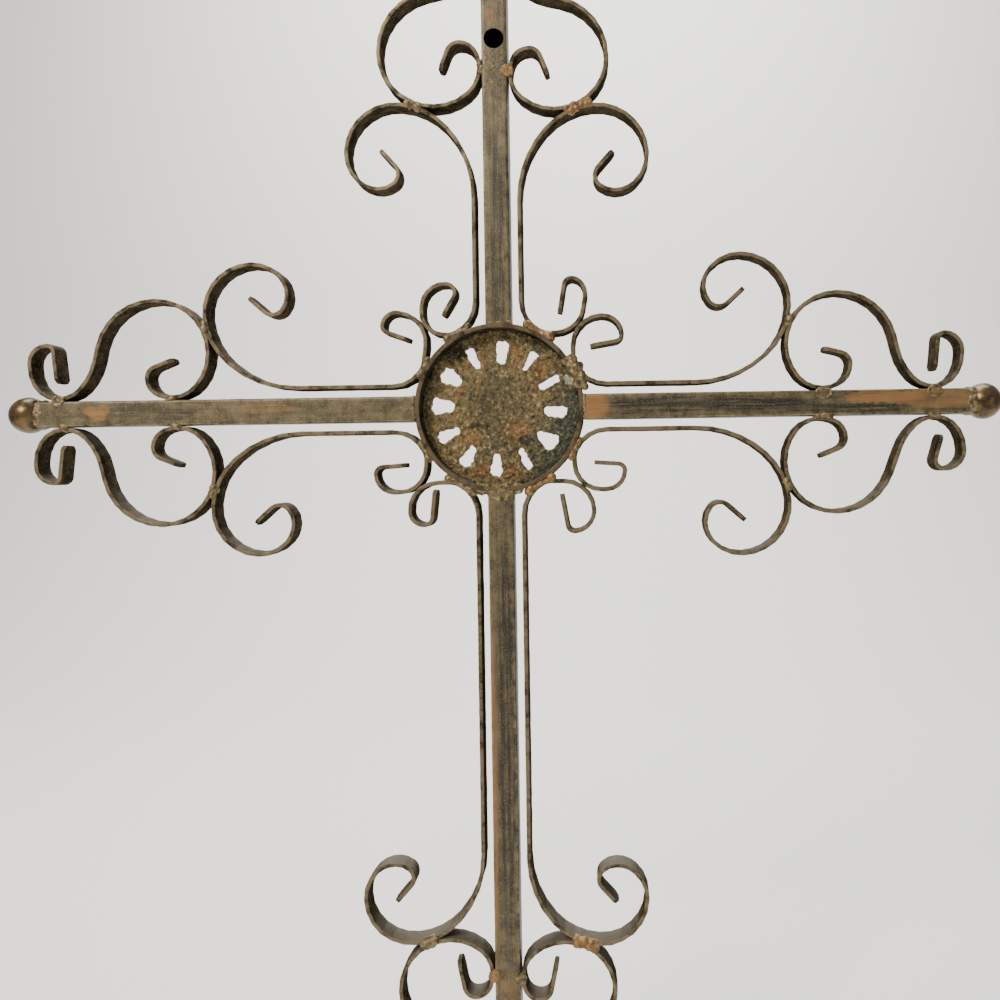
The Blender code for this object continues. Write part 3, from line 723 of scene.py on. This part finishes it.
def makeBall(armName):
    along = arms[armName]
    low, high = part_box("ball_" + armName)
    outer = high if sum(along) > 0 else low
    middle = (low + high) / 2
    centre = Vector([outer[i] - along[i] * ball["radius"] if abs(along[i]) > .5 else middle[i]
                     for i in range(3)])
    seat = -min((corner - centre).dot(along) for corner in (low, high))
    deselectAll()
    bpy.ops.mesh.primitive_uv_sphere_add(segments=48, ring_count=28, radius=ball["radius"])
    piece = bpy.context.object
    foot = -math.sqrt(ball["radius"] ** 2 - ball["neck"] ** 2)
    bpy.ops.object.mode_set(mode="EDIT")
    selectWhere(piece, "FACE", lambda face: face.calc_center_median().z < foot)
    bpy.ops.mesh.delete(type="FACE")
    selectWhere(piece, "EDGE", lambda edge: edge.is_boundary)
    bpy.ops.mesh.extrude_region_move(TRANSFORM_OT_translate={"value": (0, 0, -seat - foot)})
    selectWhere(piece, "VERT", lambda vert: vert.is_boundary)
    bpy.ops.transform.resize(value=(1, 1, 0), center_override=(0, 0, -seat))
    bpy.ops.mesh.edge_face_add()
    bpy.ops.mesh.select_all(action="SELECT")
    bpy.ops.mesh.normals_make_consistent(inside=False)
    bpy.ops.object.mode_set(mode="OBJECT")
    piece.rotation_euler = along.to_track_quat("Z", "Y").to_euler()
    piece.location = centre
    applyPlace(piece)
    roughen(piece, ball["dent"], ball["dentSize"])
    smoothUnder(piece, 50)
    finishPiece(piece, "knob_" + armName, ballMaterial, "ball_finial", "ball_" + armName)


for armName in arms:
    makeBall(armName)
print("balls turned")


# weld beads, all on the side that faces the wall
weld = dict(voxel=.00045, ripple=.0005, rippleSize=.0016, wedge=.0060)
# rings of drops round each tube's outer end: (outward from the end, radius, size of a drop) in m
collars = [(-.0012, .0084, .0015), (.0012, .0084, .0026), (.0038, .0091, .0023)]
# each weld as it was laid, (kind, length, width, paint) in m: where the C and S scrolls meet, where
# the S lies on its arm nearer the ring and farther out, then how long the weld on the ring is
weldLooks = {
    ("top", "left"): dict(pair=("lumps", .014, .0060, "tan"), ring=(.0120, "tan"),
                          arm=[("lumps", .0125, .0060, "tan"), ("lumps", .0070, .0048, "tan")]),
    ("top", "right"): dict(pair=("blocks", .021, .0070, "ochre"), ring=(.0130, "ochre"),
                           arm=[("button", .0098, .0018, "ochre"), ("lumps", .0070, .0048, "tan")]),
    ("right", "upper"): dict(pair=("lumps", .012, .0060, "tan"), ring=(.0075, "tan"),
                             arm=[("loop", .0112, .0019, "tan"), ("loop", .0104, .0019, "tan")]),
    ("right", "lower"): dict(pair=("lumps", .010, .0060, "tan"), ring=(.0080, "ochre"),
                             arm=[("lumps", .0160, .0056, "tan"), ("lumps", .0095, .0052, "tan")]),
    ("bottom", "right"): dict(pair=("blocks", .018, .0074, "ochre"), ring=(.0120, "ochre"),
                              arm=[("button", .0094, .0018, "tan"), ("lumps", .0070, .0046, "tan")]),
    ("bottom", "left"): dict(pair=("lumps", .0150, .0088, "tan"), ring=(.0130, "tan"),
                             arm=[("button", .0100, .0022, "ochre"), ("lumps", .0070, .0046, "tan")]),
    ("left", "lower"): dict(pair=("lumps", .011, .0064, "tan"), ring=(.0080, "tan"),
                            arm=[("lumps", .0090, .0058, "tan"), ("lumps", .0100, .0064, "tan")]),
    ("left", "upper"): dict(pair=("lumps", .016, .0066, "tan"), ring=(.0080, "tan"),
                            arm=[("lumps", .0100, .0060, "tan"), ("button", .0098, .0026, "tan")]),
}
dice = random.Random(41)
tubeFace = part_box("arm_top")[0].y
nearEdge = scrollLow.y      # the bars' near edges lie a little behind the tube's face
tubeHalf = (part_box("arm_top")[1].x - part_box("arm_top")[0].x) / 2
ringRadius = (ringHigh.x - ringLow.x) / 2
centre = Vector((ringMiddle.x, ringMiddle.z))
# spatter by arm: (paint, low corner, high corner, depth, size of a drop, count), corners as (x, z)
crusts = {
    "top": [("tan", (-.0078, -.040), (.0078, -.0085), tubeFace + .0003, .0008, 110)],
    "bottom": [("rough", (-.0075, -.3435), (.0080, -.3370), tubeFace + .0022, .0026, 80),
               ("rough", (-.020, -.3380), (.0150, -.3340), ringLow.y + .0036, .0028, 90),
               ("rough", (-.018, -.3345), (.0130, -.3290), ringHigh.y - .0058, .0028, 60)],
    "left": [("rough", (-.0045, -.2860), (.0040, -.2775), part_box("slotted_disc")[0].y + .0002, .0013, 18)],
}
# crust along the ring above the right arm, between two angles in degrees
rimCrust = dict(count=90, angles=(13, 35), width=(-.003, .0035), depth=.0026, sizes=(.0022, .0034))


def drop(place, depth, size):
    # one drop of weld metal at (x, z), its middle at a depth along Y, a little off its mark
    shift = size * .25
    return ((place.x + dice.uniform(-shift, shift), depth + dice.uniform(-shift, shift),
             place.y + dice.uniform(-shift, shift)), size * dice.uniform(.85, 1.15))


def lumps(place, direction, length, width):
    count = max(2, round(length / (width * .3)))
    steps = [k / (count - 1) - .5 for k in range(count)]
    return [drop(place + direction * step * (length - width), nearEdge + width * .22, width / 2)
            for step in steps]


def blocks(place, direction, length, width):
    # two dabs of filler, each squared off, with a gap between them
    blobs = []
    for side in (-1, 1):
        middle = place + direction * side * (length / 4 + .0003)
        for u in (-.14, -.04, .06, .16):
            for v in (-.22, .22):
                spot = middle + direction * u * length + direction.orthogonal() * v * width
                blobs.append(drop(spot, nearEdge + .0014, width * .40))
    return blobs


def button(place, direction, length, width):
    # flat round dab with a raised rim
    blobs = []
    for k in range(14):
        angle = 2 * math.pi * k / 14
        turn = Vector((math.cos(angle), math.sin(angle)))
        blobs.append(drop(place + turn * (length - width) / 2, tubeFace + .0003, width / 2))
        crown = (place + turn * length * .26).to_3d().xzy + Vector((0, tubeFace + .0017, 0))
        blobs.append((crown, length * .22))
    return blobs + [((place.x, tubeFace + .0017, place.y), length * .24)]


def loop(place, direction, length, width):
    # thin bead that curls over the tube's face, on a low dab that holds the bar
    blobs = lumps(place, direction, length * .95, .0046)
    inward = (centre - place).normalized()
    inward = (inward - direction * inward.dot(direction)).normalized()
    for k in range(26):
        angle = 2 * math.pi * k / 26
        spot = place + inward * .0022 + direction * math.cos(angle) * length / 2
        spot += inward * math.sin(angle) * length / 3
        blobs.append(((spot.x, tubeFace + .0001, spot.y), width * .6))
    return blobs


def wedge(path, facing, length):
    # metal that fills the narrowing gap between a bar and what it is welded to
    touch = min(path, key=lambda p: (facing(p) - p).length)
    blobs = []
    for point in path:
        gap = facing(point) - point
        if (point - touch).length < length and gap.length < weld["wedge"]:
            blobs.append(drop(point + gap * .55, nearEdge + .0014, max(.0024, gap.length * .66)))
    return blobs


def crust(low, high, depth, size, count):
    # spatter inside a rectangle of (x, z)
    return [drop(Vector((dice.uniform(low[0], high[0]), dice.uniform(low[1], high[1]))), depth,
                 size * dice.uniform(.6, 1.2)) for _ in range(count)]


def nearest(first, second):
    gap, a, b = min((((a - b).length, a, b) for a in first for b in second), key=lambda pair: pair[0])
    return (a + b) / 2, (b - a).normalized()


def armTouches(armName, path):
    # places where a scroll lies against the side of its arm, from the ring outward
    flat = Vector((arms[armName].x, arms[armName].z))
    across = Vector((-flat.y, flat.x))
    offsets = [abs((p - centre).dot(across)) for p in path]
    close = min(offsets) + .0005
    runs = []
    for point, offset, before in zip(path, offsets, [1] + offsets):
        if offset < close:
            if before >= close:
                runs.append([])
            runs[-1].append(point)
    spots = []
    for run in runs:
        middle = (run[0] + run[-1]) / 2
        side = math.copysign(1, (middle - centre).dot(across))
        spots.append(centre + flat * (middle - centre).dot(flat) + across * side * (tubeHalf + .0002))
    return sorted(spots, key=lambda spot: (spot - centre).length), flat


def makeWelds(name, blobs, material):
    deselectAll()
    place, size = blobs[0]
    bpy.ops.mesh.primitive_ico_sphere_add(subdivisions=2, radius=size, location=place)
    piece = bpy.context.object
    applyPlace(piece)
    bpy.ops.object.mode_set(mode="EDIT")
    for place, size in blobs[1:]:
        bpy.ops.mesh.primitive_ico_sphere_add(subdivisions=2, radius=size, location=place)
    bpy.ops.object.mode_set(mode="OBJECT")
    useModifier(piece, "REMESH", mode="VOXEL", voxel_size=weld["voxel"])
    useModifier(piece, "SMOOTH", factor=.5, iterations=6)
    roughen(piece, weld["ripple"], weld["rippleSize"])
    smoothUnder(piece, 80)
    finishPiece(piece, name, material, "flat_bar")


kinds = {"lumps": lumps, "blocks": blocks, "button": button, "loop": loop}
for armName, along in arms.items():
    laid = {"tan": [], "ochre": [], "rough": []}
    flat = Vector((along.x, along.z))
    across = Vector((-flat.y, flat.x))
    for (arm, place), look in weldLooks.items():
        if arm != armName:
            continue
        cPath, sPath = [fillIn(paths["%s_scroll_%s_%s" % (letter, arm, place)], .0012) for letter in "cs"]
        kind, length, width, paint = look["pair"]
        spot, apart = nearest(cPath, sPath)
        laid[paint] += kinds[kind](spot, apart.orthogonal(), length, width)
        spots, direction = armTouches(armName, sPath)
        for spot, (kind, length, width, paint) in zip(spots, look["arm"]):
            laid[paint] += kinds[kind](spot, direction, length, width)
        length, paint = look["ring"]
        laid[paint] += wedge(cPath, lambda p: centre + (p - centre).normalized() * ringRadius, length)
    # low seam where the tube meets the ring
    end = centre + flat * (ringRadius + .0006)
    for k in range(15):
        laid["tan"].append(drop(end + across * (k / 7 - 1) * (tubeHalf - .001), tubeFace + .0012, .0015))
    # ragged metal that runs from the tube's end to the ball
    low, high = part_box("arm_" + armName)
    far = max((Vector((c.x, c.z)) - centre).dot(flat) for c in (low, high))
    for out, reach, size in collars:
        for k in range(22):
            angle = 2 * math.pi * k / 22
            spot = centre + flat * far + flat * out + across * math.cos(angle) * reach
            laid["tan"].append(drop(spot, ringMiddle.y + math.sin(angle) * reach, size))
    for paint, low, high, depth, size, count in crusts.get(armName, []):
        laid[paint] += crust(low, high, depth, size, count)
    if armName == "right":
        for _ in range(rimCrust["count"]):
            angle = math.radians(dice.uniform(*rimCrust["angles"]))
            reach = ringRadius + dice.uniform(*rimCrust["width"])
            spot = centre + Vector((math.cos(angle), math.sin(angle))) * reach
            laid["tan"].append(drop(spot, ringLow.y + rimCrust["depth"], dice.uniform(*rimCrust["sizes"])))
    if armName == "left":
        # small hook of weld wire left on the tube, without the dab that would hold a bar
        laid["tan"] += loop(centre - flat.orthogonal() * .0022 + flat * .0700, flat, .0062, .0011)[3:]
    for paint, blobs in laid.items():
        if blobs:
            makeWelds("welds_%s_%s" % (armName, paint), blobs, weldMaterials[paint])
# pale spatter that ran over the ring's edge beside the right arm
pale = crust((.0495, -.2585), (.0560, -.2525), ringLow.y + .0030, .0022, 16)
makeWelds("spatter", pale, weldMaterials["pale"])
print("welds laid")


# floor that curves up far behind the cross
stage = dict(gap=.05, half=9, far=2.6, tall=6, bend=1.2, colour="#e6e4e0", roughness=.8)


def makeStage():
    deselectAll()
    height = cadBox[0].z - stage["gap"]
    bpy.ops.mesh.primitive_plane_add(size=1, location=(0, (stage["far"] - stage["half"]) / 2, height))
    floor = bpy.context.object
    floor.scale = (2 * stage["half"], stage["far"] + stage["half"], 1)
    applyPlace(floor)
    bpy.ops.object.mode_set(mode="EDIT")
    selectWhere(floor, "EDGE", lambda edge: all(v.co.y > stage["far"] - .01 for v in edge.verts))
    bpy.ops.mesh.extrude_region_move(TRANSFORM_OT_translate={"value": (0, 0, stage["tall"])})
    selectWhere(floor, "EDGE", lambda edge: all(
        v.co.y > stage["far"] - .01 and v.co.z < height + .01 for v in edge.verts))
    bpy.ops.mesh.bevel(offset=stage["bend"], segments=24, affect="EDGES")
    bpy.ops.object.mode_set(mode="OBJECT")
    bpy.ops.object.shade_smooth()
    floor.name = "floor"
    material, _, shader = startMaterial("paleFloorPaint", 0, stage["roughness"])
    shader.inputs["Base Color"].default_value = colour(stage["colour"])
    floor.data.materials.append(material)


def addLight(name, place, target, size, power, tint):
    lamp = bpy.data.lights.new(name, "AREA")
    lamp.shape = "SQUARE"
    lamp.size = size
    lamp.energy = power
    lamp.color = colour(tint)[:3]
    holder = bpy.data.objects.new(name, lamp)
    bpy.context.collection.objects.link(holder)
    holder.location = place
    holder.rotation_euler = (Vector(target) - Vector(place)).to_track_quat("-Z", "Y").to_euler()


makeStage()
middle = (cadBox[0] + cadBox[1]) / 2
# where each light stands, what it is turned to, its side in m, its power in W and its colour
addLight("windowLight", (-1.0, -1.4, .9), middle, .7, 52, "#fff6ea")
addLight("ceilingLight", (-.1, .1, 1.3), middle, .9, 16, "#f2f5ff")
addLight("roomFill", (1.3, -1.5, .2), middle, 1.6, 4, "#e8f0ff")
addLight("backdropLight", (0, .9, 1.9), (0, 2.6, .1), 2.2, 150, "#ffffff")
room = dict(colour="#e6e8ea", strength=.35)
world = bpy.data.worlds.new("paleRoom")
world.use_nodes = True
background = world.node_tree.nodes["Background"]
background.inputs["Color"].default_value = colour(room["colour"])
background.inputs["Strength"].default_value = room["strength"]
bpy.context.scene.world = world

# camera square on, a little right of and below the ring, turned 0.87 degrees, as photographed
view = dict(place=(.0790, -.675, -.3201), roll=.87, lens=32.6, sensor=36, shiftX=-.106, shiftY=-.034)
eye = bpy.data.cameras.new("camera")
eye.lens = view["lens"]
eye.sensor_width = view["sensor"]
eye.shift_x = view["shiftX"]
eye.shift_y = view["shiftY"]
holder = bpy.data.objects.new("camera", eye)
bpy.context.collection.objects.link(holder)
holder.rotation_mode = "XYZ"
holder.location = view["place"]
holder.rotation_euler = (math.pi / 2, math.radians(view["roll"]), 0)
bpy.context.scene.camera = holder
print("stage, lights and camera set")
